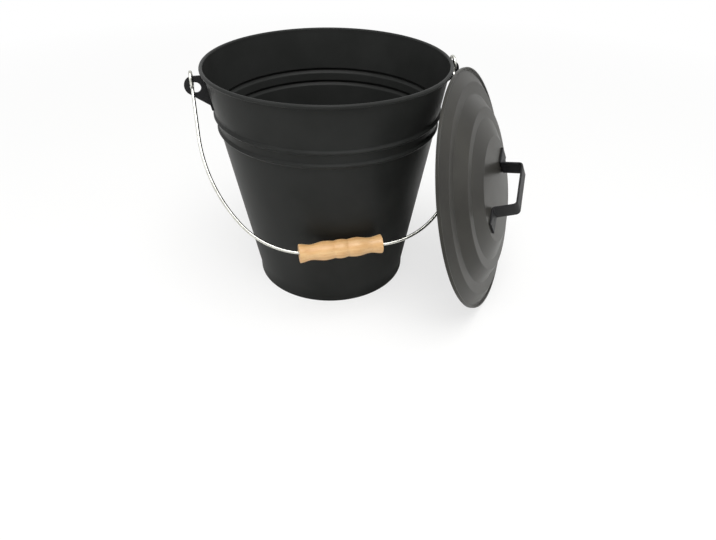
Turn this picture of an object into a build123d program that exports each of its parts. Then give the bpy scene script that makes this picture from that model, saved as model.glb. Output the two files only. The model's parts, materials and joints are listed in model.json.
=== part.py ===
from build123d import *
import math
import os

# Ash bucket with a loose lid, millimetres, +Z up, base centre at the origin, ears on the X axis.

# Sheet, wire and clearances
sheet = 0.8
ear_sheet = 2.5
wire_r = 2.0
rim_wire_r = 1.45
wire_gap = 0.05
rest_gap = 0.5

# Bucket body
foot_r = 105.5
foot_height = 11.7
rim_r = 150.3
rim_height = 292.0
ribs_below_rim = (54.7, 71.4)
rib_proud = 3.6
rib_chord = 12.0
bottom_height = 8.0
bottom_round = 3.0
bottom_bead_r = 78.0
bottom_bead_proud = 2.5
bottom_bead_half = 7.5
foot_hem = 5.0
curl_start_angle = -100.0
curl_stop_angle = -170.0

# Ears
ear_hole_r = 6.3
ear_hole_beyond_rim = 6.4
ear_hole_below_rim = 21.0
ear_tip_r = 11.4
ear_tip_beyond_hole = 1.5
ear_tip_above_hole = 1.9
ear_foot_below_rim = 46.0
ear_flange_width = 13.0

# Bail
bail_beyond_hole = 3.5
bail_axis_above_hole = 9.3
bail_eye_r = 8.5
bail_neck_r = 6.0
bail_eye_stop = 335.0
bail_shoulder_r = 190.0
bail_shoulder_turn = 35.0
bail_drop = 219.0
bail_bow_height = 153.5

# Grip, a turned sleeve: distance from one end as a share of the length, and radius
grip_length = 103.0
grip_profile = ((0.0, 11.7), (0.14, 9.6), (0.31, 11.9), (0.42, 10.6), (0.5, 11.9))
grip_bore_r = 3.6
grip_edge = 0.8
grip_slide = -12.0
grip_hang = 0.9

# Lid
lid_inset = 0.4
lid_hem = 1.5
lid_hem_depth = 4.0
lid_hem_top = 2.0
lid_groove_height = 2.0
lid_step_round = 4.0
lid_least_lean = 16.2
lid_turn = -35.5
lid_sideways = 22.7
lid_gap = 0.5247
lid_top_over_rim = 0.3134

# Steps of the lid: where each slope starts and ends, measured in from the edge, and the level it climbs to
lid_steps = ((2.8, 17.9, 9.3), (32.7, 49.7, 21.2), (62.6, 85.3, 29.9))

# Lid handle, a bent flat bar
handle_width = 20.0
handle_thick = 2.5
handle_base = 70.0
handle_top = 62.0
handle_height = 31.0
handle_foot = 26.0
handle_bend_r = 3.0
handle_turn = 25.5
spot_r = 2.5
spot_depth = 0.4

# Values worked out from the sizes above
bead_r = rim_wire_r + wire_gap + sheet
rim_outer_r = rim_r + bead_r
wall_top_r = rim_r - bead_r + sheet
wall_slope = (wall_top_r - foot_r) / (rim_height - foot_height)
wall_angle = math.atan(wall_slope)
rib_heights = [rim_height - down for down in ribs_below_rim]
ear_hole_x = rim_outer_r + ear_hole_beyond_rim
ear_hole_z = rim_height - ear_hole_below_rim
ear_foot_z = rim_height - ear_foot_below_rim
bail_half_width = ear_hole_x + bail_beyond_hole
bail_leg = bail_drop - bail_bow_height
axis_z = ear_hole_z + bail_axis_above_hole
grip_r = max(radius for share, radius in grip_profile)
grip_drop = bail_drop - grip_hang
lid_r = rim_outer_r - lid_inset
lid_crown = lid_steps[-1][-1]


def wall_r(z):
    """Outer radius of the tapered wall at a height."""
    return foot_r + wall_slope * (z - foot_height)


def rest_angle():
    """Angle of the bail from straight down at which the grip lies on the wall."""
    stand_off = (grip_r + rest_gap) / math.cos(wall_angle)
    reach = wall_r(axis_z) + stand_off
    return math.degrees(math.asin(reach * math.cos(wall_angle) / grip_drop) - wall_angle)


bail_angle = rest_angle()


def upright_face(lines):
    """A face inside closed lines, stood up so that its second coordinate is the height."""
    return Plane.XZ * make_face(Curve() + lines)


def revolve_section(section):
    """A full turn of a section drawn in the XZ plane."""
    return revolve(section, Axis.Z, 360)


def wall_section():
    """Sheet section of the wall: turned-in foot, vertical foot band, taper with two ribs."""
    half = rib_chord / 2

    def side(inset):
        """One face of the sheet, from the foot to the rim."""
        edges = []
        here = (foot_r - inset, foot_height)
        for rib_z in sorted(rib_heights):
            low = (wall_r(rib_z - half) - inset, rib_z - half)
            top = (wall_r(rib_z) + rib_proud - inset, rib_z)
            high = (wall_r(rib_z + half) - inset, rib_z + half)
            edges += [Line(here, low), ThreePointArc(low, top, high)]
            here = high
        end = (wall_top_r - inset, rim_height)
        return edges + [Line(here, end)], end

    outer, outer_end = side(0.0)
    inner, inner_end = side(sheet)
    hem_r = foot_r - foot_hem
    foot = Polyline(
        (foot_r, foot_height),
        (foot_r, 0),
        (hem_r, 0),
        (hem_r, sheet),
        (foot_r - sheet, sheet),
        (foot_r - sheet, foot_height),
    )
    return upright_face([foot, *outer, *inner, Line(outer_end, inner_end)])


def curl_section():
    """Section of the sheet rolled outwards round the rim wire, open next to the wall."""
    ring = Circle(bead_r) - Circle(bead_r - sheet)
    start = math.radians(curl_start_angle)
    stop = math.radians(curl_stop_angle)
    reach = 2 * bead_r
    wedge = Polygon(
        (0, 0),
        (reach * math.cos(start), reach * math.sin(start)),
        (reach * math.cos((start + stop) / 2), reach * math.sin((start + stop) / 2)),
        (reach * math.cos(stop), reach * math.sin(stop)),
        align=None,
    )
    return Plane.XZ * Pos(rim_r, rim_height) * (ring - wedge)


def bucket_wall():
    """The tapered wall with its foot, ribs and rolled rim."""
    return revolve_section(wall_section() + curl_section())


def rim_wire():
    """The wire that the rim is rolled round."""
    return revolve_section(Plane.XZ * Pos(rim_r, rim_height) * Circle(rim_wire_r))


def bucket_bottom():
    """The pressed bottom: a raised floor with a stiffening bead and a flange down to the foot hem."""
    edge_r = foot_r - sheet - wire_gap
    top = bottom_height + sheet
    bead_in = bottom_bead_r - bottom_bead_half
    bead_out = bottom_bead_r + bottom_bead_half
    outer = Polyline((0, top), (bead_in, top))
    bead = ThreePointArc(
        (bead_in, top), (bottom_bead_r, top + bottom_bead_proud), (bead_out, top)
    )
    rim = FilletPolyline((bead_out, top), (edge_r, top), (edge_r, sheet), radius=bottom_round)
    under_rim = FilletPolyline(
        (edge_r - sheet, sheet), (edge_r - sheet, top - sheet), (bead_out, top - sheet),
        radius=bottom_round - sheet,
    )
    under_bead = ThreePointArc(
        (bead_out, top - sheet),
        (bottom_bead_r, top - sheet + bottom_bead_proud),
        (bead_in, top - sheet),
    )
    under = Polyline((bead_in, top - sheet), (0, top - sheet), (0, top))
    edge = Line((edge_r, sheet), (edge_r - sheet, sheet))
    return revolve_section(upright_face([outer, bead, rim, edge, under_rim, under_bead, under]))


def ear():
    """One ear: a flat lobe that stands out from the wall, folded round onto a flange along the wall."""
    tip_x = ear_hole_x + ear_tip_beyond_hole
    tip_z = ear_hole_z + ear_tip_above_hole
    top_z = tip_z + ear_tip_r
    tip = Pos(tip_x, tip_z) * Circle(ear_tip_r)
    root = Polygon((wall_r(ear_foot_z), ear_foot_z), (tip_x, tip_z), (wall_r(top_z), top_z), align=None)
    lobe = make_hull((tip + root).edges()) - Pos(ear_hole_x, ear_hole_z) * Circle(ear_hole_r)
    plate = extrude(Plane.XZ * lobe, amount=ear_sheet / 2, both=True)
    strip = Polygon(
        (wall_r(ear_foot_z), ear_foot_z),
        (wall_r(ear_foot_z) + ear_sheet, ear_foot_z),
        (wall_r(top_z) + ear_sheet, top_z),
        (wall_r(top_z), top_z),
        align=None,
    )
    arc = math.degrees(ear_flange_width / wall_r(ear_foot_z))
    flange = revolve(Plane.XZ * strip, Axis.Z, arc)
    return plate + flange


def bail_path():
    """Centre line of the bail in its own plane: x across, y down along the bail, z out of its plane."""
    turn = math.radians(bail_shoulder_turn)
    shoulder_x = bail_half_width - bail_shoulder_r * (1 - math.cos(turn))
    shoulder_y = bail_leg + bail_shoulder_r * math.sin(turn)
    corner_r = (bail_drop - shoulder_y) / (1 - math.sin(turn))
    flat_half = shoulder_x - corner_r * math.cos(turn)
    neck_y = math.sqrt(bail_eye_r**2 + 2 * bail_eye_r * bail_neck_r)
    neck_angle = math.atan2(bail_neck_r, neck_y)

    def on_eye(angle):
        return (bail_eye_r * math.cos(angle), bail_eye_r * math.sin(angle))

    def half(side):
        """One half of the bail, from the eye's end to the middle of the grip."""
        x = side * bail_half_width
        stop = math.radians(bail_eye_stop)
        middle = (neck_angle + stop) / 2
        bend = (5 * math.pi / 2 + neck_angle) / 2
        neck_mid = (neck_y + bail_neck_r * math.cos(bend), bail_neck_r * (1 + math.sin(bend)))
        eye = ThreePointArc((x, *on_eye(stop)), (x, *on_eye(middle)), (x, *on_eye(neck_angle)))
        neck = ThreePointArc((x, *on_eye(neck_angle)), (x, *neck_mid), (x, neck_y, 0))
        leg = Line((x, neck_y, 0), (x, bail_leg, 0))
        half_turn = turn / 2
        shoulder_mid = (
            side * (bail_half_width - bail_shoulder_r * (1 - math.cos(half_turn))),
            bail_leg + bail_shoulder_r * math.sin(half_turn),
            0,
        )
        shoulder = ThreePointArc((x, bail_leg, 0), shoulder_mid, (side * shoulder_x, shoulder_y, 0))
        corner_turn = (turn + math.pi / 2) / 2
        corner_mid = (
            side * (flat_half + corner_r * math.cos(corner_turn)),
            bail_drop - corner_r * (1 - math.sin(corner_turn)),
            0,
        )
        corner_end = (side * flat_half, bail_drop, 0)
        corner = ThreePointArc((side * shoulder_x, shoulder_y, 0), corner_mid, corner_end)
        return [eye, neck, leg, shoulder, corner]

    flat = Line((-flat_half, bail_drop, 0), (flat_half, bail_drop, 0))
    return [*half(-1), flat, *reversed(half(1))]


def bail_place():
    """Where the bail's own plane lies at rest: x along the ear line, y down and forwards."""
    angle = math.radians(bail_angle)
    return Plane(
        origin=(0, 0, axis_z),
        x_dir=(1, 0, 0),
        z_dir=(0, math.cos(angle), -math.sin(angle)),
    )


def bail_wire():
    """The round wire bail with an eye at each end."""
    path = Wire(Curve() + bail_path())
    start = path @ 0
    section = Plane(origin=start, z_dir=path % 0) * Circle(wire_r)
    return bail_place().location * sweep(section, path=path)


def grip():
    """The turned wooden sleeve, smooth between its bulges, with a straight bore."""
    half_profile = [(share * grip_length, radius) for share, radius in grip_profile]
    mirrored = [(grip_length - along, radius) for along, radius in reversed(half_profile[:-1])]
    points = [(along - grip_length / 2, radius) for along, radius in half_profile + mirrored]
    outline = Spline(*points)
    ends = Polyline(points[-1], (points[-1][0], 0), (points[0][0], 0), points[0])
    body = revolve(make_face(Curve() + [outline, ends]), Axis.X, 360)
    body = chamfer(body.edges().filter_by(GeomType.CIRCLE), grip_edge)
    bore = Rot(0, 90, 0) * Cylinder(grip_bore_r, 2 * grip_length)
    return bail_place().location * Pos(grip_slide, grip_drop, 0) * (body - bore)


def lid_top():
    """Height of the lid's top edge and the bucket's radius there: the rim, or the wall under a short lid."""
    height = min(rim_height + lid_top_over_rim, 2 * lid_r * math.cos(math.radians(lid_least_lean)))
    return height, rim_outer_r if height > rim_height - bead_r else wall_r(height)


def lid_place():
    """Lid frame: origin at the middle of the hem's rear edge, z along the outward normal, y up the lid."""
    top_z, touch_r = lid_top()
    lean = math.acos(top_z / (2 * lid_r))
    turn = math.radians(lid_turn)
    normal = Vector(math.cos(turn) * math.cos(lean), math.sin(turn) * math.cos(lean), math.sin(lean))
    across = Vector(-math.sin(turn), math.cos(turn), 0)
    out = touch_r + lid_gap + lid_r * math.sin(lean)
    origin = Vector(out * math.cos(turn), out * math.sin(turn), top_z / 2) + across * lid_sideways
    return Plane(origin=origin, x_dir=across, z_dir=normal)


def lid_outline():
    """Outer outline of the lid as radius and height, from the hem over its groove up to the middle."""
    points = [(lid_r, 0), (lid_r, lid_hem_depth), (lid_r - lid_hem_top, lid_hem_depth)]
    level = lid_groove_height
    for start, stop, height in lid_steps:
        points += [(lid_r - start, level), (lid_r - stop, height)]
        level = height
    return points + [(0, level)]


def lid_shell():
    """The pressed lid: a hem that lies on the rim, a groove and three sloped steps up to a flat crown."""
    points = lid_outline()
    radii = [sheet] * 3 + [lid_step_round] * (len(points) - 5)
    outer = FilletPolyline(*points, radius=radii)
    solid = revolve_section(upright_face([outer, Polyline(points[-1], (0, 0), (lid_r, 0))]))
    inner_r = lid_r - lid_hem
    hollow = Pos(0, 0, -sheet) * solid
    mouth = Plane.XZ * Pos(inner_r / 2, 0) * Rectangle(inner_r, 2 * lid_crown + 2 * sheet)
    skin = solid - (hollow & revolve_section(mouth))
    return lid_place().location * skin


def lid_handle():
    """The handle: a flat bar bent into a bridge with two feet turned outwards, spot welded to the crown."""
    base = handle_base / 2
    top = handle_top / 2
    high = lid_crown + handle_height - handle_thick
    path = FilletPolyline(
        (-base - handle_foot, lid_crown),
        (-base, lid_crown),
        (-top, high),
        (top, high),
        (base, lid_crown),
        (base + handle_foot, lid_crown),
        radius=handle_bend_r,
    )
    side_view = Plane.XZ * make_face(offset(path, handle_thick, side=Side.LEFT))
    bar = extrude(side_view, amount=handle_width / 2, both=True)
    for side in (-1, 1):
        spot = Pos(side * (base + handle_foot / 2), 0, lid_crown + handle_thick) * Sphere(spot_r)
        bar -= Pos(0, 0, spot_r - spot_depth) * spot
    return lid_place().location * Rot(0, 0, handle_turn) * bar


parts = {
    "bucket_wall": bucket_wall(),
    "rim_wire": rim_wire(),
    "bucket_bottom": bucket_bottom(),
    "ear_left": Rot(0, 0, 180) * ear(),
    "ear_right": ear(),
    "bail_wire": bail_wire(),
    "grip": grip(),
    "lid_shell": lid_shell(),
    "lid_handle": lid_handle(),
}

os.makedirs("parts", exist_ok=True)
for name, shape in parts.items():
    export_step(shape, f"parts/{name}.step")

print("bail rests at", round(bail_angle, 3), "degrees and swings", round(360 - 2 * bail_angle, 3))
place = lid_place()
print("bail axis height", round(axis_z, 3), "lid centre", place.origin, "lid normal", place.z_dir)
print("grip axis", bail_place().from_local_coords(Vector(grip_slide, grip_drop, 0)))
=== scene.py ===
# %% [markdown]
# # An ash bucket in powder coated sheet steel
# The bucket is a tapered sheet with a rolled rim, two ribs and a foot. A bright wire bail with a turned
# wooden grip hangs at its front, and a pressed lid with a strap handle leans on its rim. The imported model
# gives every place, so this lesson only dresses it: each piece is computed as a surface, and gets the
# finish that its maker gave it. Sizes are in millimetres, as in a workshop drawing, and are turned into
# Blender's metres as late as possible.

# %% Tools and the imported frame
import json
import math

import bmesh
import bpy
import numpy as np
from mathutils import Matrix


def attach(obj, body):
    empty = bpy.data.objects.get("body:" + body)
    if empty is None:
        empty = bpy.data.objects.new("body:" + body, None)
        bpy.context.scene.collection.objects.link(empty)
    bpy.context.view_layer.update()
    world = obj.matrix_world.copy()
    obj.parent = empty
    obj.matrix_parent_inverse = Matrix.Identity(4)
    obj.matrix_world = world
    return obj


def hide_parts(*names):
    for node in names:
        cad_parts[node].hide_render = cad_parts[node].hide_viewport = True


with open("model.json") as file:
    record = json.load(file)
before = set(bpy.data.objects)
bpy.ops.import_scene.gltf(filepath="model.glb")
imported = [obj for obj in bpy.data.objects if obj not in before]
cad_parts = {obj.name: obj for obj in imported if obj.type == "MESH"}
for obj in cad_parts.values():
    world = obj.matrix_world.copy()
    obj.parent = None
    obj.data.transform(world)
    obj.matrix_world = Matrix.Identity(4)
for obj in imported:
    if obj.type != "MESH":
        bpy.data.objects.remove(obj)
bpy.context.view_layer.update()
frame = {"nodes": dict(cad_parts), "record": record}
joints = {joint["name"]: joint for joint in frame["record"]["behaviour"]["joints"]}
MM = 0.001

# %% [markdown]
# ## The camera
# The photograph looks down on the bucket from 70 cm away and half a metre up, a little from the left. The
# distance, height and angles were fitted to the rim, the ribs and the foot, with a lens like that of an
# ordinary phone. The camera is turned by an explicit matrix, because three small angles in a row are easier
# to keep right than a constraint.

# %% Camera at the photograph's view
VIEW_TURN = math.radians(-10.06)
CAMERA_AWAY = 0.6883
CAMERA_HEIGHT = 0.4981
CAMERA_YAW = 0.0591
CAMERA_PITCH = 0.6517
CAMERA_ROLL = 0.0137
FOCAL_PIXELS = 552.7
PHOTO_WIDTH = 716
SENSOR = 36.0


def camera_axes(yaw, pitch, roll):
    """Right, up and backward axes of a camera that looks along +Y, turned right, down and clockwise.

    Forward is (sin yaw cos pitch, cos yaw cos pitch, -sin pitch), and the roll turns right and up round it.
    """
    level = math.cos(pitch)
    forward = np.array([math.sin(yaw) * level, math.cos(yaw) * level, -math.sin(pitch)])
    right = np.array([math.cos(yaw), -math.sin(yaw), 0.0])
    up = np.cross(right, forward)
    rolled_right = right * math.cos(roll) + up * math.sin(roll)
    rolled_up = up * math.cos(roll) - right * math.sin(roll)
    return rolled_right, rolled_up, -forward


camera_data = bpy.data.cameras.new("camera")
camera_data.sensor_width = SENSOR
camera_data.lens = FOCAL_PIXELS / PHOTO_WIDTH * SENSOR
camera = bpy.data.objects.new("camera", camera_data)
bpy.context.scene.collection.objects.link(camera)
axes = np.eye(4)
axes[:3, :3] = np.array(camera_axes(CAMERA_YAW, CAMERA_PITCH, CAMERA_ROLL)).T
axes[:3, 3] = (0.0, -CAMERA_AWAY, CAMERA_HEIGHT)
camera.matrix_world = Matrix.Rotation(VIEW_TURN, 4, "Z") @ Matrix(axes.tolist())
bpy.context.scene.camera = camera
print("camera at", [round(v, 3) for v in camera.matrix_world.translation])

# %% [markdown]
# ## From numbers to a mesh
# Nearly everything here is round: sheet spun over a former, drawn wire, a sleeve turned on a lathe. So two
# surfaces make nearly all of it. A turned surface carries a profile of radius and height round an axis. A
# tube carries a circle along a path. Both are grids of points worked out in one go, and a grid becomes a
# mesh by joining each point to its neighbours.

# %% Grids to meshes
MERGE = 1e-7
SHARP = 35.0


def grid_faces(rows, columns, wrap_rows, wrap_columns):
    """Quads of a grid whose point (i, j) has the number i * columns + j, wrapped round where asked."""
    last_row = rows if wrap_rows else rows - 1
    last_column = columns if wrap_columns else columns - 1
    i, j = np.meshgrid(np.arange(last_row), np.arange(last_column), indexing="ij")
    i, j = i.ravel(), j.ravel()
    ni, nj = (i + 1) % rows, (j + 1) % columns
    return np.stack([i * columns + j, i * columns + nj, ni * columns + nj, ni * columns + j], axis=1)


def make_piece(name, points, faces, sharp=SHARP):
    """A mesh object from points in metres and lists of corners.

    Doubles are merged, normals point outwards, and the shading is smooth but for edges over an angle.
    """
    mesh = bpy.data.meshes.new(name)
    mesh.from_pydata(np.asarray(points).tolist(), [], faces)
    cleaner = bmesh.new()
    cleaner.from_mesh(mesh)
    bmesh.ops.remove_doubles(cleaner, verts=cleaner.verts, dist=MERGE)
    bmesh.ops.recalc_face_normals(cleaner, faces=cleaner.faces)
    cleaner.to_mesh(mesh)
    cleaner.free()
    mesh.shade_smooth()
    mesh.set_sharp_from_angle(angle=math.radians(sharp))
    piece = bpy.data.objects.new(name, mesh)
    bpy.context.scene.collection.objects.link(piece)
    print(name, len(mesh.vertices), "points", len(mesh.polygons), "faces")
    return piece


print("a closed grid of 4 by 6 points has", len(grid_faces(4, 6, True, True)), "faces")

# %% [markdown]
# ## Colours and nodes
# Colours are written as people read them, as sRGB hex, and Blender's shaders want them linear, so one
# function turns one into the other. One more function adds a node with its settings and its links, which
# keeps a material's recipe readable from top to bottom.

# %% Colour and node helpers
def colour(hex_text):
    """Linear red, green, blue and alpha of an sRGB hex colour.

    A channel c is c / 12.92 near black and ((c + 0.055) / 1.055) to the power 2.4 above it.
    """
    channels = [int(hex_text[i : i + 2], 16) / 255 for i in (1, 3, 5)]
    linear = [c / 12.92 if c <= 0.04045 else ((c + 0.055) / 1.055) ** 2.4 for c in channels]
    return (*linear, 1.0)


def add(tree, kind, links=None, values=None, stops=(), **settings):
    """A new node of a kind: links from (node, output) pairs, values on its inputs, settings on the node.

    Stops are the (position, colour) pairs of a colour ramp, which starts with two of its own.
    """
    node = tree.nodes.new(kind)
    for key, value in settings.items():
        setattr(node, key, value)
    for key, value in (values or {}).items():
        node.inputs[key].default_value = value
    for key, (source, output) in (links or {}).items():
        tree.links.new(source.outputs[output], node.inputs[key])
    for number, (position, value) in enumerate(stops):
        elements = node.color_ramp.elements
        element = elements[number] if number < len(elements) else elements.new(position)
        element.position = position
        element.color = value
    return node


def new_material(name):
    """An empty node material and its tree."""
    material = bpy.data.materials.new(name)
    material.use_nodes = True
    material.node_tree.nodes.clear()
    return material, material.node_tree


print("sRGB #808080 is", round(colour("#808080")[0], 3), "in linear light")

# %% [markdown]
# ## Powder coat
# The bucket and its lid are sheet steel, sprayed with dry polyester powder and baked. The powder flows into
# one even skin with a fine orange peel, and matting agents leave it a soft satin: highlights are broad and
# grey, never sharp. The colour hardly varies. Peel cells are well under a millimetre, finer than a pixel of
# the render, so the bump is drawn at about 2 mm and very low, and a broad, faint mottle stands for the
# uneven thickness that a spray gun leaves. The lid has the same coat, painted a little lighter as painted
# light for the light that falls on it, and made a little warmer and glossier.

# %% Powder coat material
PEEL = 2.2
PEEL_STRENGTH = 0.25
MOTTLE = 55.0
MOTTLE_LOW, MOTTLE_HIGH = 0.3, 0.7
GLOSS_SPREAD = 0.03
COAT_IOR = 1.5


def powder_coat(name, dark, light, rough, peel_height, shine):
    """Powder coat between two close colours, with orange peel as bump and a mottle in its gloss."""
    material, tree = new_material(name)
    where = add(tree, "ShaderNodeTexCoord")
    mottle = add(
        tree,
        "ShaderNodeTexNoise",
        {"Vector": (where, "Object")},
        {"Scale": 1 / (MOTTLE * MM), "Detail": 3.0, "Roughness": 0.55},
    )
    tone = add(
        tree,
        "ShaderNodeValToRGB",
        {"Fac": (mottle, "Fac")},
        stops=[(MOTTLE_LOW, colour(dark)), (MOTTLE_HIGH, colour(light))],
    )
    peel = add(
        tree, "ShaderNodeTexNoise", {"Vector": (where, "Object")}, {"Scale": 1 / (PEEL * MM), "Detail": 2.0}
    )
    bump = add(
        tree,
        "ShaderNodeBump",
        {"Height": (peel, "Fac")},
        {"Strength": PEEL_STRENGTH, "Distance": peel_height * MM},
    )
    gloss = add(
        tree,
        "ShaderNodeMapRange",
        {"Value": (mottle, "Fac")},
        {
            "From Min": MOTTLE_LOW,
            "From Max": MOTTLE_HIGH,
            "To Min": rough - GLOSS_SPREAD,
            "To Max": rough + GLOSS_SPREAD,
        },
    )
    shader = add(
        tree,
        "ShaderNodeBsdfPrincipled",
        {"Base Color": (tone, "Color"), "Roughness": (gloss, "Result"), "Normal": (bump, "Normal")},
        {"IOR": COAT_IOR, "Specular IOR Level": shine},
    )
    add(tree, "ShaderNodeOutputMaterial", {"Surface": (shader, "BSDF")})
    return material


bucket_coat = powder_coat("satin_powder_coat_bucket", "#262726", "#2c2d2c", 0.4, 0.12, 0.08)
# The lid's copy of the coat is painted lighter than the bucket's: painted light for the light that falls on
# the lid. It is also a little warmer and glossier.
lid_coat = powder_coat("satin_powder_coat_lid_painted_lighter", "#32312e", "#3b3a36", 0.34, 0.12, 0.15)
print("made", bucket_coat.name, "and", lid_coat.name)

# %% [markdown]
# ## Textured black paint
# The strap and the ears are cut from thicker bar and dipped in a blacker, drier paint. It is nearly matt
# and slightly grainy, so edges stay soft and the faces read almost black. The grain is the same bump as the
# powder coat's peel, drawn higher.

# %% Black paint material
black_paint = powder_coat("matt_black_paint", "#121214", "#19191b", 0.5, 0.2, 0.25)
print("made", black_paint.name)

# %% [markdown]
# ## Bright zinc plated wire
# The bail is mild steel wire, drawn and then plated with zinc. Plating over drawn wire gives a mirror that
# is a little grey and a little soft. On Object coordinates a fine noise gives the faint clouding of the
# plating, and the metal keeps the default IOR.

# %% Wire material
CLOUD = 6.0


def zinc_wire():
    """Bright plated steel with a faint cloud in its roughness and colour."""
    material, tree = new_material("bright_zinc_wire")
    where = add(tree, "ShaderNodeTexCoord")
    cloud = add(
        tree, "ShaderNodeTexNoise", {"Vector": (where, "Object")}, {"Scale": 1 / (CLOUD * MM), "Detail": 4.0}
    )
    tone = add(
        tree,
        "ShaderNodeValToRGB",
        {"Fac": (cloud, "Fac")},
        stops=[(0.3, colour("#b9b9b2")), (0.7, colour("#d6d6cf"))],
    )
    gloss = add(tree, "ShaderNodeMapRange", {"Value": (cloud, "Fac")}, {"To Min": 0.16, "To Max": 0.3})
    shader = add(
        tree,
        "ShaderNodeBsdfPrincipled",
        {"Base Color": (tone, "Color"), "Roughness": (gloss, "Result")},
        {"Metallic": 1.0},
    )
    add(tree, "ShaderNodeOutputMaterial", {"Surface": (shader, "BSDF")})
    return material


bail_finish = zinc_wire()
print("made", bail_finish.name)

# %% [markdown]
# ## Turned beech
# The grip is turned from a beech stick, so the grain runs along it. Beech shows two things at once: long
# faint bands of early and late wood, and short dark flecks, the rays, a few millimetres long. Both are
# noise stretched along X, the grip's axis: the bands many times longer than wide, the flecks short and
# thin. A thin clear varnish gives a soft gloss over it.

# %% Beech material
BAND = 4.5
BAND_LENGTH = 90.0
FLECK = 0.7
FLECK_LENGTH = 4.5
FLECK_START, FLECK_FULL = 0.6, 0.72
FLECK_SHARE = 0.55
FLECK_RAISE = 0.1
MIX_SHARE, MIX_FIRST, MIX_SECOND, MIX_RESULT = 0, 6, 7, 2


def beech():
    """Pale turned wood with long bands and short dark flecks along X."""
    material, tree = new_material("turned_beech")
    where = add(tree, "ShaderNodeTexCoord")

    def grain(width, length, detail):
        """Noise in cells of a width across the grain and a length along it, in millimetres."""
        scaled = add(
            tree,
            "ShaderNodeMapping",
            {"Vector": (where, "Object")},
            {"Scale": (1 / (length * MM), 1 / (width * MM), 1 / (width * MM))},
        )
        return add(
            tree, "ShaderNodeTexNoise", {"Vector": (scaled, "Vector")}, {"Scale": 1.0, "Detail": detail}
        )

    bands = grain(BAND, BAND_LENGTH, 4.0)
    wood = add(
        tree,
        "ShaderNodeValToRGB",
        {"Fac": (bands, "Fac")},
        stops=[(0.25, colour("#d29f65")), (0.5, colour("#dfb27a")), (0.75, colour("#e9c592"))],
    )
    flecks = grain(FLECK, FLECK_LENGTH, 1.0)
    fleck_mask = add(
        tree,
        "ShaderNodeValToRGB",
        {"Fac": (flecks, "Fac")},
        stops=[(FLECK_START, colour("#000000")), (FLECK_FULL, colour("#ffffff"))],
    )
    weak = add(
        tree, "ShaderNodeMath", {0: (fleck_mask, "Color")}, {1: FLECK_SHARE}, operation="MULTIPLY"
    )
    flecked = add(
        tree,
        "ShaderNodeMix",
        {MIX_SHARE: (weak, 0), MIX_FIRST: (wood, "Color")},
        {MIX_SECOND: colour("#c08d5a")},
        data_type="RGBA",
        blend_type="MIX",
    )
    bump = add(
        tree, "ShaderNodeBump", {"Height": (flecks, "Fac")}, {"Strength": 0.2, "Distance": FLECK_RAISE * MM}
    )
    shader = add(
        tree,
        "ShaderNodeBsdfPrincipled",
        {"Base Color": (flecked, MIX_RESULT), "Normal": (bump, "Normal")},
        {"Roughness": 0.42, "IOR": 1.5, "Coat Weight": 0.15, "Coat Roughness": 0.3},
    )
    add(tree, "ShaderNodeOutputMaterial", {"Surface": (shader, "BSDF")})
    return material


grip_finish = beech()
print("made", grip_finish.name)

# %% [markdown]
# ## Turning and dressing
# A spun or rolled piece is a profile that goes once round an axis. The same few words then dress each
# piece: its finish, the body that it moves with, and the nodes of the model that it stands for.

# %% A turned surface and its dress
TURN_STEPS = 256


def turned(profile, steps, place=None, loop=False):
    """Points and faces of a profile turned round the Z axis.

    Point (i, j) is profile point i at angle j: x = r cos a, y = r sin a, z = h. A loop is a closed section,
    as of a sheet; otherwise the first and last points lie on the axis and become poles.
    """
    profile = np.asarray(profile, dtype=float) * MM
    angle = np.linspace(0.0, 2 * math.pi, steps, endpoint=False)
    rings = profile if loop else profile[1:-1]
    radius, height = rings[:, :1], rings[:, 1:]
    grid = np.stack([radius * np.cos(angle), radius * np.sin(angle), height + 0 * angle], axis=-1)
    points = grid.reshape(-1, 3)
    faces = grid_faces(len(rings), steps, loop, True).tolist()
    if not loop:
        first, last = len(points), len(points) + 1
        points = np.vstack([points, [0, 0, profile[0, 1]], [0, 0, profile[-1, 1]]])
        j = np.arange(steps)
        nj = (j + 1) % steps
        base = (len(rings) - 1) * steps
        faces += np.stack([np.full(steps, first), nj, j], axis=1).tolist()
        faces += np.stack([np.full(steps, last), base + j, base + nj], axis=1).tolist()
    if place is not None:
        points = points @ place[:3, :3].T + place[:3, 3]
    return points, faces


def dress(piece, material, body, slot, *nodes):
    """Gives a piece its finish and its body, and lets it stand for its CAD nodes."""
    piece.data.materials.append(material)
    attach(piece, body)
    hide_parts(*nodes)
    print(piece.name, "rides on", body, "and stands for", *nodes)


# %% [markdown]
# ## The bucket wall
# One sheet, rolled to a cone and seamed, then run through rollers that raise the two ribs and curl its top
# edge outwards round a wire. Its section is a thin closed loop: up the outside, round the curl, and down
# the inside. Turning that loop round Z gives the whole wall with its real thickness, so the inside shows
# the same ribs as grooves, as the photograph does.

# %% Bucket wall
SHEET = 0.8
FOOT_R = 105.5
FOOT_HEIGHT = 11.7
FOOT_HEM = 5.0
FOOT_EDGE = 0.3
RIM_R = 150.3
RIM_HEIGHT = 292.0
RIM_WIRE_R = 1.45
WIRE_GAP = 0.05
CURL_END = -100.0
CURL_POINTS = 40
RIBS = (220.6, 237.3)
RIB_PROUD = 2.8
RIB_CHORD = 8.0
POINTS_BELOW_RIBS = 24
POINTS_ABOVE_RIBS = 12
RIB_STEP = 0.5
BEAD_R = RIM_WIRE_R + WIRE_GAP + SHEET
WALL_TOP_R = RIM_R - BEAD_R + SHEET
SLOPE = (WALL_TOP_R - FOOT_R) / (RIM_HEIGHT - FOOT_HEIGHT)


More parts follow.
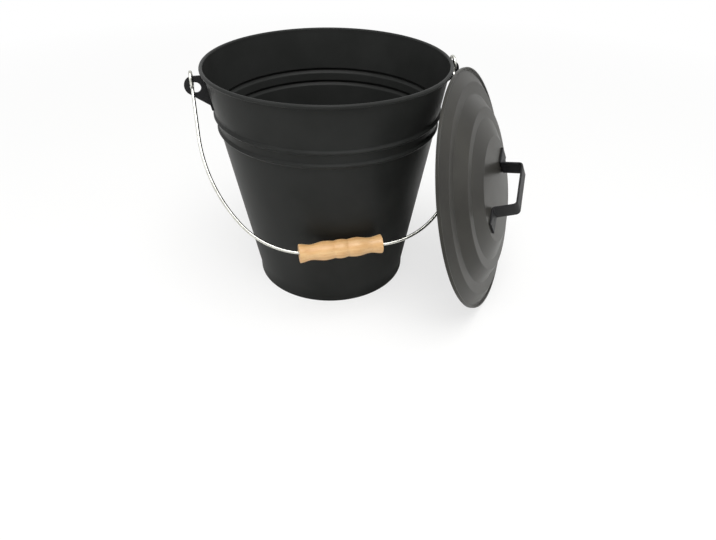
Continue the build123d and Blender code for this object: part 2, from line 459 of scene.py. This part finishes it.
def wall_face(inset, from_z, to_z):
    """One face of the sheet between two heights: the taper plus a raised cosine at each rib.

    The taper is the foot's radius plus the slope times the height above the foot. A rib stands RIB_PROUD
    over RIB_CHORD: half of it times one plus the cosine of the way from its middle, which meets the taper
    without a crease.
    """
    z = np.concatenate([
        np.linspace(from_z, RIBS[0] - RIB_CHORD, POINTS_BELOW_RIBS),
        np.arange(RIBS[0] - RIB_CHORD + RIB_STEP, RIBS[1] + RIB_CHORD, RIB_STEP),
        np.linspace(RIBS[1] + RIB_CHORD, to_z, POINTS_ABOVE_RIBS),
    ])
    taper = FOOT_R + SLOPE * (z - FOOT_HEIGHT)
    proud = np.zeros_like(z)
    for rib in RIBS:
        way = np.clip((z - rib) / (0.5 * RIB_CHORD), -1, 1)
        proud += RIB_PROUD * 0.5 * (1 + np.cos(math.pi * way))
    return np.stack([taper + proud - inset, z], axis=1)


def curl(radius, angles):
    """Points of the rolled rim: the rim's centre plus a radius times (cos a, sin a)."""
    return np.stack([RIM_R + radius * np.cos(angles), RIM_HEIGHT + radius * np.sin(angles)], axis=1)


def wall_loop():
    """Closed section of the wall: foot hem, outside, inside of the curl, its outside, and inside."""
    outside = wall_face(0.0, FOOT_HEIGHT, RIM_HEIGHT - BEAD_R)
    inside = wall_face(SHEET, FOOT_HEIGHT, RIM_HEIGHT)[::-1]
    angles = np.radians(np.linspace(180, CURL_END, CURL_POINTS))
    hem = np.array([
        [FOOT_R - SHEET, SHEET],
        [FOOT_R - FOOT_HEM, SHEET],
        [FOOT_R - FOOT_HEM, 0.0],
        [FOOT_R - FOOT_EDGE, 0.0],
        [FOOT_R, FOOT_EDGE],
    ])
    curl_in = curl(BEAD_R - SHEET, angles[::-1])
    curl_out = curl(BEAD_R, angles)[::-1]
    return np.vstack([hem, outside, curl_in, curl_out, inside[1:]])


wall = make_piece("bucket_wall_shell", *turned(wall_loop(), TURN_STEPS, loop=True))
dress(wall, bucket_coat, "bucket", "powder_coat", "bucket_wall")

# %% [markdown]
# ## Rounded corners
# A press never leaves a corner sharp: sheet bends over a die with a radius of a few times its thickness. So
# the outlines that follow are written as a few corners, each with the radius of its own bend, and one
# function puts the arcs in.

# %% Rounded polylines
ARC_STEP = 0.35
LEAST_ARC_POINTS = 3


def rounded(corners, radii):
    """A polyline with each inner corner replaced by a tangent arc of its own radius.

    The arc's centre lies on the corner's bisector, radius / sin(half angle) away. With the tangent points p
    and q taken from that centre, the arc is (sin((1 - s) w) p + sin(s w) q) / sin w, where w is its sweep.
    """
    corners = [np.asarray(corner, dtype=float) for corner in corners]
    line = [corners[0]]
    for before, corner, after, radius in zip(corners, corners[1:], corners[2:], radii):
        a = (before - corner) / np.linalg.norm(before - corner)
        b = (after - corner) / np.linalg.norm(after - corner)
        half = math.acos(a @ b) / 2
        centre = corner + (a + b) / np.linalg.norm(a + b) * radius / math.sin(half)
        start = corner + a * radius / math.tan(half) - centre
        stop = corner + b * radius / math.tan(half) - centre
        sweep = math.pi - 2 * half
        share = np.linspace(0, 1, max(LEAST_ARC_POINTS, int(radius * sweep / ARC_STEP)))[:, None]
        arc = (np.sin((1 - share) * sweep) * start + np.sin(share * sweep) * stop) / math.sin(sweep)
        line.extend(centre + arc)
    line.append(corners[-1])
    return np.array(line)


print("a square corner of 3 mm takes", len(rounded([(0, 0), (9, 0), (9, 9)], [3.0])) - 2, "points")

# %% [markdown]
# ## The bottom
# A pressed disc, raised so that it clears the hearth, with a stiffening bead and a flange turned down
# inside the foot. It is turned like the wall, from a line that starts and ends on the axis.

# %% Bucket bottom
BOTTOM_HEIGHT = 8.0
BOTTOM_ROUND = 3.0
BOTTOM_BEAD_R = 78.0
BOTTOM_BEAD = 2.5
BOTTOM_BEAD_HALF = 7.5
BEAD_POINTS = 31


def bottom_face(level, rim_r, radius):
    """One face of the pressing: flat, a raised cosine for the bead, flat and a rounded edge to the hem."""
    r = np.linspace(BOTTOM_BEAD_R - BOTTOM_BEAD_HALF, BOTTOM_BEAD_R + BOTTOM_BEAD_HALF, BEAD_POINTS)
    proud = BOTTOM_BEAD * 0.5 * (1 + np.cos(math.pi * (r - BOTTOM_BEAD_R) / BOTTOM_BEAD_HALF))
    bead = np.stack([r, level + proud], axis=1)
    edge = rounded([bead[-1], (rim_r, level), (rim_r, SHEET)], [radius])
    return np.vstack([[0.0, level], bead, edge[1:]])


flange_r = FOOT_R - SHEET - WIRE_GAP
upper = bottom_face(BOTTOM_HEIGHT + SHEET, flange_r, BOTTOM_ROUND)
lower = bottom_face(BOTTOM_HEIGHT, flange_r - SHEET, BOTTOM_ROUND - SHEET)
bottom = make_piece("bucket_bottom_pan", *turned(np.vstack([upper, lower[::-1]]), TURN_STEPS))
dress(bottom, bucket_coat, "bucket", "powder_coat", "bucket_bottom")

# %% [markdown]
# ## The ears and the rim's wire
# The ears are flat plates with a hole, and the model already has their outline and their fold, so they need
# only their black paint. The wire inside the rolled rim hardly shows, and gets the bail's finish.

# %% Pieces of the model that need only a finish
for name, finish in (("ear_left", black_paint), ("ear_right", black_paint), ("rim_wire", bail_finish)):
    node = frame["nodes"][name]
    node.data.materials.clear()
    node.data.materials.append(finish)
    print(name, "gets", finish.name)

# %% [markdown]
# ## Bending wire
# Wire is bent cold round pegs, so it keeps its round section through every bend. A circle carried along a
# path, always square to it, is just that. The ends are cut and filed, which a small dome stands for.

# %% A wire along a path
WIRE_SIDES = 20
DOME_POINTS = 6
ANY_SIDE = (0.3, 0.5, 0.8)


def tube(path, radius):
    """Points and faces of a round wire along a path, with domed ends.

    Each ring is path + r (u cos a + v sin a), where u and v are square to the path. The direction u is
    carried along the path by taking away the part that lies along the new tangent, so the mesh doesn't
    twist.
    """
    tangent = np.gradient(path, axis=0)
    tangent /= np.linalg.norm(tangent, axis=1)[:, None]
    dome = np.radians(np.linspace(90, 0, DOME_POINTS))[:-1]
    start = path[0] - tangent[0] * radius * np.sin(dome)[:, None]
    stop = path[-1] + tangent[-1] * radius * np.sin(dome[::-1])[:, None]
    spine = np.vstack([start, path, stop])
    ends = len(dome)
    along = np.vstack([np.repeat(tangent[:1], ends, 0), tangent, np.repeat(tangent[-1:], ends, 0)])
    shrink = radius * np.cos(dome)
    size = np.concatenate([shrink, np.full(len(path), radius), shrink[::-1]])
    side = np.cross(along[0], ANY_SIDE)
    carried = []
    for direction in along:
        side = side - direction * (side @ direction)
        side /= np.linalg.norm(side)
        carried.append(side)
    first = np.array(carried)
    second = np.cross(along, first)
    angle = np.linspace(0, 2 * math.pi, WIRE_SIDES, endpoint=False)
    ring = first[:, None] * np.cos(angle)[:, None] + second[:, None] * np.sin(angle)[:, None]
    points = (spine[:, None] + ring * size[:, None, None]).reshape(-1, 3)
    return points, grid_faces(len(spine), WIRE_SIDES, False, True).tolist()


straight = np.linspace((0.0, 0.0, 0.0), (1.0, 0.0, 0.0), 3)
print("a straight wire with 3 points on its path gets", len(tube(straight, 0.1)[0]), "points")

# %% [markdown]
# ## The bail
# One length of wire, bent round a peg at each end into an eye, set off by a short neck so that the leg
# points at the eye's middle. Below the legs it swings in with two arcs to the flat that carries the grip.
# Each stretch is a line or an arc, on the bail's own axes: x across, u down it and w out of its plane.

# %% Bail wire
PIVOT = np.array(joints["bail_pivot"]["pos_m"])
GRIP_MIDDLE = np.array(joints["grip_spin"]["pos_m"])
WIRE_R = 2.0
BAIL_HALF = 162.5
EYE_R = 8.5
NECK_R = 6.0
EYE_STOP = math.radians(335.0)
LEG = 65.5
SHOULDER_R = 190.0
SHOULDER_TURN = math.radians(35.0)
BAIL_DROP = 219.0
BAIL_STEP = 1.5
LEAST_BEND_POINTS = 4
LEG_POINTS = 24
FLAT_POINTS = 40


def arc_points(centre, radius, start, stop):
    """Points on an arc between two angles, about a step apart: centre + r (cos a, sin a)."""
    count = max(LEAST_BEND_POINTS, int(abs(stop - start) * radius / BAIL_STEP))
    angle = np.linspace(start, stop, count)
    return np.stack([centre[0] + radius * np.cos(angle), centre[1] + radius * np.sin(angle)], axis=1)


def bail_half(side):
    """One half of the bail in millimetres, from the eye's end to the edge of the flat: x, u and w.

    The neck's arc touches the eye's from outside, so its middle is the root of EYE_R squared plus twice
    EYE_R times NECK_R down the leg. The corner's radius is what brings its arc level at the flat.
    """
    neck_u = math.sqrt(EYE_R**2 + 2 * EYE_R * NECK_R)
    neck_angle = math.atan2(NECK_R, neck_u)
    eye = arc_points((0, 0), EYE_R, EYE_STOP, neck_angle)
    neck = arc_points((neck_u, NECK_R), NECK_R, math.pi + neck_angle, 1.5 * math.pi)[1:]
    leg = np.linspace((neck_u, 0), (LEG, 0), LEG_POINTS)[1:]
    in_eye_plane = np.vstack([eye, neck, leg])
    upper = np.column_stack([np.full(len(in_eye_plane), side * BAIL_HALF), in_eye_plane])
    shoulder = arc_points((BAIL_HALF - SHOULDER_R, LEG), SHOULDER_R, 0, SHOULDER_TURN)[1:]
    end_x, end_u = shoulder[-1]
    corner_r = (BAIL_DROP - end_u) / (1 - math.sin(SHOULDER_TURN))
    corner_centre = (end_x - corner_r * math.cos(SHOULDER_TURN), BAIL_DROP - corner_r)
    corner = arc_points(corner_centre, corner_r, SHOULDER_TURN, math.pi / 2)[1:]
    lower = np.vstack([shoulder, corner])
    lower = np.column_stack([side * lower[:, 0], lower[:, 1], np.zeros(len(lower))])
    return np.vstack([upper, lower])


def bail_path():
    """The whole centre line in metres, laid into the plane from the pivot to the grip."""
    left, right = bail_half(-1), bail_half(1)
    flat = np.linspace(left[-1], right[-1], FLAT_POINTS)[1:-1]
    line = np.vstack([left, flat, right[::-1]]) * MM
    across = np.array([1.0, 0.0, 0.0])
    down = np.array([0.0, *(GRIP_MIDDLE - PIVOT)[1:]])
    down /= np.linalg.norm(down)
    out = np.cross(across, down)
    return PIVOT + line[:, :1] * across + line[:, 1:2] * down + line[:, 2:] * out


bail = make_piece("bail_wire_round", *tube(bail_path(), WIRE_R * MM))
dress(bail, bail_finish, "bail", "bright_wire", "bail_wire")

# %% [markdown]
# ## The grip
# A sleeve turned on a lathe: flared ends, two necks, and three bulges that meet in two fine turned creases,
# with a bore for the wire. Its profile runs through a few measured radii, is turned round X, and goes back
# through the bore, so the ends show their rims.

# %% Grip
GRIP_LENGTH = 103.0
GRIP_SHARES = (0.0, 0.14, 0.31, 0.42, 0.5)
GRIP_RADII = (11.7, 9.6, 11.9, 10.6, 11.9)
GRIP_CREASE = 3
GRIP_POINTS = 120
GRIP_STEPS = 96
GRIP_EDGE = 0.8
GRIP_EDGE_POINTS = 6
GRIP_BORE = 3.6
GRIP_BORE_EDGE = 0.4


def grip_outline():
    """Radius along the grip, through the measured radii.

    Between two of them it eases by w * w * (3 - 2w), level at both. Beside a crease it follows
    sin(w * pi / 2) up from the crease, so that two bulges meet in a sharp line.
    """
    shares = np.array([*GRIP_SHARES, *(1 - np.array(GRIP_SHARES[-2::-1]))])
    radii = np.array([*GRIP_RADII, *GRIP_RADII[-2::-1]])
    creases = (GRIP_CREASE, len(shares) - 1 - GRIP_CREASE)
    t = np.linspace(0, 1, GRIP_POINTS)
    k = np.clip(np.searchsorted(shares, t, side="right") - 1, 0, len(shares) - 2)
    way = (t - shares[k]) / (shares[k + 1] - shares[k])
    smooth = way * way * (3 - 2 * way)
    smooth = np.where(np.isin(k, creases), np.sin(way * math.pi / 2), smooth)
    smooth = np.where(np.isin(k + 1, creases), 1 - np.sin((1 - way) * math.pi / 2), smooth)
    return np.stack([radii[k] + (radii[k + 1] - radii[k]) * smooth, (t - 0.5) * GRIP_LENGTH], axis=1)


def grip_loop():
    """Closed section of the grip: a rounded end, the outline, the other rounded end and the bore."""
    outline = grip_outline()
    half = GRIP_LENGTH / 2
    body = outline[np.abs(outline[:, 1]) < half - GRIP_EDGE]
    turn = np.radians(np.linspace(0, 90, GRIP_EDGE_POINTS))
    edge_r = GRIP_RADII[0] - GRIP_EDGE * (1 - np.cos(turn))
    edge_x = half - GRIP_EDGE * (1 - np.sin(turn))
    start = np.stack([edge_r[::-1], -edge_x[::-1]], axis=1)
    stop = np.stack([edge_r, edge_x], axis=1)
    bore = np.array([
        [GRIP_BORE + GRIP_BORE_EDGE, half],
        [GRIP_BORE, half - GRIP_BORE_EDGE],
        [GRIP_BORE, -half + GRIP_BORE_EDGE],
        [GRIP_BORE + GRIP_BORE_EDGE, -half],
    ])
    return np.vstack([start, body, stop, bore])


along_x = np.eye(4)
along_x[:3, :3] = np.array([[0, 0, 1], [0, 1, 0], [-1, 0, 0]])
along_x[:3, 3] = GRIP_MIDDLE
sleeve = make_piece("turned_grip", *turned(grip_loop(), GRIP_STEPS, along_x, loop=True))
dress(sleeve, grip_finish, "grip", "beech", "grip")

# %% [markdown]
# ## Where the lid leans
# The lid stands on the floor and leans on the rim, turned a little to the side. Its normal is the direction
# in which the model slides it away. From that come its lean, the height of its middle and its distance from
# the bucket, in the same way in which the model places it.

# %% Lid's place
LID_INSET = 0.4
LID_SIDEWAYS = 22.7
LID_GAP = 0.5247
LID_R = RIM_R + BEAD_R - LID_INSET


def lid_frame():
    """Lid's own axes as a matrix: x across, y up the lid, z out of it, origin in the hem's rear plane.

    The middle is LID_R times the cosine of the lean above the floor, and LID_R times its sine further out
    than the rim and the gap.
    """
    normal = np.array(joints["lid_away"]["axis"])
    normal /= np.linalg.norm(normal)
    flat = normal[:2] / np.linalg.norm(normal[:2])
    lean = math.asin(normal[2])
    across = np.array([-flat[1], flat[0], 0.0])
    centre_z = LID_R * math.cos(lean)
    out = RIM_R + BEAD_R + LID_GAP + LID_R * math.sin(lean)
    place = np.eye(4)
    place[:3, 0] = across
    place[:3, 1] = np.cross(normal, across)
    place[:3, 2] = normal
    place[:3, 3] = np.array([out * flat[0], out * flat[1], centre_z]) * MM + across * LID_SIDEWAYS * MM
    return place


lid_place = lid_frame()
print("lid's middle at", [round(v, 4) for v in lid_place[:3, 3]])

# %% [markdown]
# ## The lid
# A disc pressed in one stroke into three steps, which stiffen it, with its edge folded into a hem that lies
# on the bucket's rim when the lid is laid on it. A groove runs inside the hem. The outline is a row of flats
# and slopes, measured in from the edge, whose corners the press rounds.

# %% Lid shell
LID_HEM = 1.5
LID_HEM_DEPTH = 4.0
LID_HEM_TOP = 2.0
LID_GROOVE = 1.3
LID_STEPS = ((2.8, 17.9, 9.3), (32.7, 49.7, 21.2), (62.6, 85.3, 29.9))
LID_ROUND = 4.0
LID_EDGE = 0.4
HEM_EDGE = 0.25
HEM_CLEAR = 0.2


def lid_profile():
    """Outside from the crown's middle to the hem, the hem's rear, and the inside back, one sheet below."""
    corners = [(LID_R, 0.0), (LID_R, LID_HEM_DEPTH), (LID_R - LID_HEM_TOP, LID_HEM_DEPTH)]
    level = LID_GROOVE
    for start, stop, height in LID_STEPS:
        corners += [(LID_R - start, level), (LID_R - stop, height)]
        level = height
    corners.append((0.0, level))
    hem_corners = 3
    step_corners = len(corners) - 2 - hem_corners
    outer = rounded(corners, [SHEET] * hem_corners + [LID_ROUND] * step_corners)
    inner_r = LID_R - LID_HEM
    under = outer - [0.0, SHEET]
    under = under[under[:, 0] < inner_r - HEM_CLEAR]
    outer[0] = (LID_R, LID_EDGE)
    hem = np.array([
        [LID_R - LID_EDGE, 0.0],
        [inner_r + HEM_EDGE, 0.0],
        [inner_r, HEM_EDGE],
        [inner_r, LID_HEM_DEPTH - SHEET],
    ])
    return np.vstack([outer[::-1], hem, under])


lid = make_piece("lid_pressing", *turned(lid_profile(), TURN_STEPS, lid_place))
dress(lid, lid_coat, "lid", "lid_coat", "lid_shell")

# %% [markdown]
# ## The lid's handle
# A flat bar, bent four times into a bridge with two feet turned outwards and spot welded to the crown. The
# path of the bar's inner face is a polyline with rounded bends, and the bar is a rounded rectangle carried
# along it, so its long edges catch the light as a rolled bar's do.

# %% The handle's path and section
HANDLE_WIDTH = 20.0
HANDLE_THICK = 2.5
HANDLE_BASE = 70.0
HANDLE_TOP = 62.0
HANDLE_HEIGHT = 31.0
HANDLE_FOOT = 26.0
HANDLE_BEND = 3.6
HANDLE_CROWN = LID_STEPS[-1][-1]
BAR_EDGE = 0.5
BAR_EDGE_POINTS = 4
BAR_FACE_POINTS = 32
BAR_STEP = 0.6


def subdivided(line, step):
    """The same polyline with points evenly along each stretch, no further apart than a step."""
    way = np.concatenate([[0], np.cumsum(np.linalg.norm(np.diff(line, axis=0), axis=1))])
    inserted = np.concatenate([
        np.linspace(a, b, int((b - a) / step) + 1, endpoint=False) for a, b in zip(way, way[1:])
    ])
    marks = np.append(inserted, way[-1])
    return np.stack([np.interp(marks, way, line[:, k]) for k in range(line.shape[1])], axis=1)


def handle_path():
    """The bar's inner face from foot to foot, seen from the side: along the lid and out of it."""
    base, top = HANDLE_BASE / 2, HANDLE_TOP / 2
    high = HANDLE_CROWN + HANDLE_HEIGHT - HANDLE_THICK
    corners = [
        (-base - HANDLE_FOOT, HANDLE_CROWN),
        (-base, HANDLE_CROWN),
        (-top, high),
        (top, high),
        (base, HANDLE_CROWN),
        (base + HANDLE_FOOT, HANDLE_CROWN),
    ]
    return subdivided(rounded(corners, [HANDLE_BEND] * 4), BAR_STEP)


def bar_section():
    """Outline of the bar's section: a rectangle with quarter circles at its corners, as w and t offsets.

    The bar lies on the left of its path, so t runs from 0 to its thickness.
    """
    half, rise = HANDLE_WIDTH / 2 - BAR_EDGE, HANDLE_THICK / 2 - BAR_EDGE
    pieces = []
    for w, t, start in ((1, 1, 0), (-1, 1, 90), (-1, -1, 180), (1, -1, 270)):
        angle = np.radians(np.linspace(start, start + 90, BAR_EDGE_POINTS))
        centre = np.array([w * half, HANDLE_THICK / 2 + t * rise])
        pieces.append(centre + BAR_EDGE * np.stack([np.cos(angle), np.sin(angle)], axis=1))
        if w == t:
            face = np.linspace(half * w, -half * w, BAR_FACE_POINTS)[1:-1]
            level = np.full(len(face), HANDLE_THICK / 2 * (1 + t))
            pieces.append(np.stack([face, level], axis=1))
    return np.vstack(pieces)


print("the handle's path has", len(handle_path()), "points, its section", len(bar_section()))

# %% [markdown]
# ## Bending and welding the bar
# Each point of the bar is its place on the path, plus its height in the section along the path's normal,
# plus its width across the bar. A spot weld squeezes the foot between two electrodes, which leaves a
# shallow round dent in its middle. The whole handle is then turned on the crown, as the photograph shows.

# %% Lid handle
HANDLE_TURN = math.radians(25.5)
HANDLE_SHARP = 50.0
SPOT_R = 2.5
SPOT_DEPTH = 0.4


def handle_mesh():
    """The bar carried along its bends: a point is path + t times the path's normal + w across the bar.

    The dent of a spot weld is SPOT_DEPTH times one less the square of the distance over SPOT_R.
    """
    path, section = handle_path(), bar_section()
    tangent = np.gradient(path, axis=0)
    tangent /= np.linalg.norm(tangent, axis=1)[:, None]
    normal = np.stack([-tangent[:, 1], tangent[:, 0]], axis=1)
    side_view = path[:, None] + normal[:, None] * section[None, :, 1:]
    across = np.broadcast_to(section[None, :, 0], side_view.shape[:2])
    foot_middle = HANDLE_BASE / 2 + HANDLE_FOOT / 2
    from_spot = np.hypot(np.abs(side_view[..., 0]) - foot_middle, across) / SPOT_R
    on_top = side_view[..., 1] > HANDLE_CROWN + HANDLE_THICK - BAR_EDGE / 2
    side_view[..., 1] -= on_top * SPOT_DEPTH * np.clip(1 - from_spot**2, 0, None)
    local = np.stack([side_view[..., 0], across, side_view[..., 1]], axis=-1).reshape(-1, 3) * MM
    turn = np.array([
        [math.cos(HANDLE_TURN), -math.sin(HANDLE_TURN), 0],
        [math.sin(HANDLE_TURN), math.cos(HANDLE_TURN), 0],
        [0, 0, 1],
    ])
    points = (local @ turn.T) @ lid_place[:3, :3].T + lid_place[:3, 3]
    ring = len(section)
    faces = grid_faces(len(path), ring, False, True).tolist()
    faces.append(list(range(ring)))
    faces.append(list(range((len(path) - 1) * ring, len(path) * ring)))
    return points, faces


handle = make_piece("strap_handle", *handle_mesh(), sharp=HANDLE_SHARP)
dress(handle, black_paint, "lid", "handle_coat", "lid_handle")

# %% [markdown]
# ## The floor
# The photograph is a product shot on white. The floor is a plain pale sheet, and to the camera it is partly
# a plain white glow, more so further off. That leaves a soft shadow under the bucket and no horizon. Its
# reflections and the light that it throws back are those of the pale sheet.

# %% Floor
FLOOR_HALF = 4.0
FLOOR_GLOW = 0.7
GLOW_NEAR = 0.4
GLOW_FAR = 1.6


def floor_material():
    """Pale floor with a white glow to the camera, whose share grows to all of it away from the object."""
    material, tree = new_material("pale_floor")
    shader = add(
        tree,
        "ShaderNodeBsdfPrincipled",
        values={"Base Color": colour("#f4f4f2"), "Roughness": 0.9, "Specular IOR Level": 0.1},
    )
    glow = add(tree, "ShaderNodeEmission", values={"Color": colour("#ffffff"), "Strength": 1.0})
    path = add(tree, "ShaderNodeLightPath")
    where = add(tree, "ShaderNodeTexCoord")
    away = add(tree, "ShaderNodeVectorMath", {0: (where, "Object")}, operation="LENGTH")
    spread = add(
        tree,
        "ShaderNodeMapRange",
        {"Value": (away, "Value")},
        {"From Min": GLOW_NEAR, "From Max": GLOW_FAR, "To Min": FLOOR_GLOW, "To Max": 1.0},
    )
    share = add(
        tree, "ShaderNodeMath", {0: (path, "Is Camera Ray"), 1: (spread, "Result")}, operation="MULTIPLY"
    )
    mixed = add(tree, "ShaderNodeMixShader", {0: (share, 0), 1: (shader, "BSDF"), 2: (glow, "Emission")})
    add(tree, "ShaderNodeOutputMaterial", {"Surface": (mixed, "Shader")})
    return material


floor_corners = [(x * FLOOR_HALF, y * FLOOR_HALF, 0) for x, y in ((-1, -1), (1, -1), (1, 1), (-1, 1))]
floor = make_piece("floor", floor_corners, [(0, 1, 2, 3)])
floor.data.materials.append(floor_material())

# %% [markdown]
# ## The light
# The light is that of a small studio. One large soft lamp hangs above and a little in front, so the rim and
# the far inner wall catch it. Two weak ones fill the sides. A dome gives the rest: it is lighter overhead
# and dims towards the horizon, so round things darken towards their lower half, but it is plain white to
# the camera and in mirrors and glass.

# %% Lamps
LIT_MIDDLE = (0.05, 0.0, 0.15)
LAMPS = (
    # name, place in metres, side of the lamp in metres, power in watts
    ("left", (-1.9, -0.5, 1.1), 1.2, 6.0),
    ("right", (1.8, -1.0, 1.3), 1.2, 4.5),
    ("top", (0.0, -0.7, 2.1), 1.6, 42.0),
)


def area_lamp(name, place, size, power):
    """A soft square lamp whose back axis runs from the lit middle to its place."""
    data = bpy.data.lights.new(name, "AREA")
    data.shape = "SQUARE"
    data.size = size
    data.energy = power
    lamp = bpy.data.objects.new(name, data)
    bpy.context.scene.collection.objects.link(lamp)
    away = np.array(place) - np.array(LIT_MIDDLE)
    away = away / np.linalg.norm(away)
    side = np.cross([0.0, 0.0, 1.0], away)
    side /= np.linalg.norm(side)
    turn = np.eye(4)
    turn[:3, 0], turn[:3, 1], turn[:3, 2], turn[:3, 3] = side, np.cross(away, side), away, place
    lamp.matrix_world = Matrix(turn.tolist())
    print("lamp", name, "of", power, "W")


for lamp in LAMPS:
    area_lamp(*lamp)

# %% The dome
DOME_LOW = 0.1
DOME_HIGH = 0.6


def studio_dome():
    """A world that lights softly from above and dims to the horizon, and that is plain white where seen.

    Its strength is the larger of the dome's, from DOME_LOW at the horizon to DOME_HIGH overhead, and one on
    rays from the camera, a mirror or glass.
    """
    world = bpy.data.worlds.new("studio")
    world.use_nodes = True
    tree = world.node_tree
    tree.nodes.clear()
    path = add(tree, "ShaderNodeLightPath")
    seen = add(
        tree, "ShaderNodeMath", {0: (path, "Is Camera Ray"), 1: (path, "Is Glossy Ray")}, operation="MAXIMUM"
    )
    seen = add(tree, "ShaderNodeMath", {0: (seen, 0), 1: (path, "Is Transmission Ray")}, operation="MAXIMUM")
    where = add(tree, "ShaderNodeTexCoord")
    direction = add(tree, "ShaderNodeSeparateXYZ", {"Vector": (where, "Generated")})
    dome = add(
        tree, "ShaderNodeMapRange", {"Value": (direction, "Z")}, {"To Min": DOME_LOW, "To Max": DOME_HIGH}
    )
    strength = add(tree, "ShaderNodeMath", {0: (seen, 0), 1: (dome, "Result")}, operation="MAXIMUM")
    background = add(
        tree, "ShaderNodeBackground", {"Strength": (strength, 0)}, {"Color": colour("#ffffff")}
    )
    add(tree, "ShaderNodeOutputWorld", {"Surface": (background, "Background")})
    return world


bpy.context.scene.world = studio_dome()
bpy.context.scene.view_settings.view_transform = "Standard"
print("world", bpy.context.scene.world.name, "with the plain Standard view")
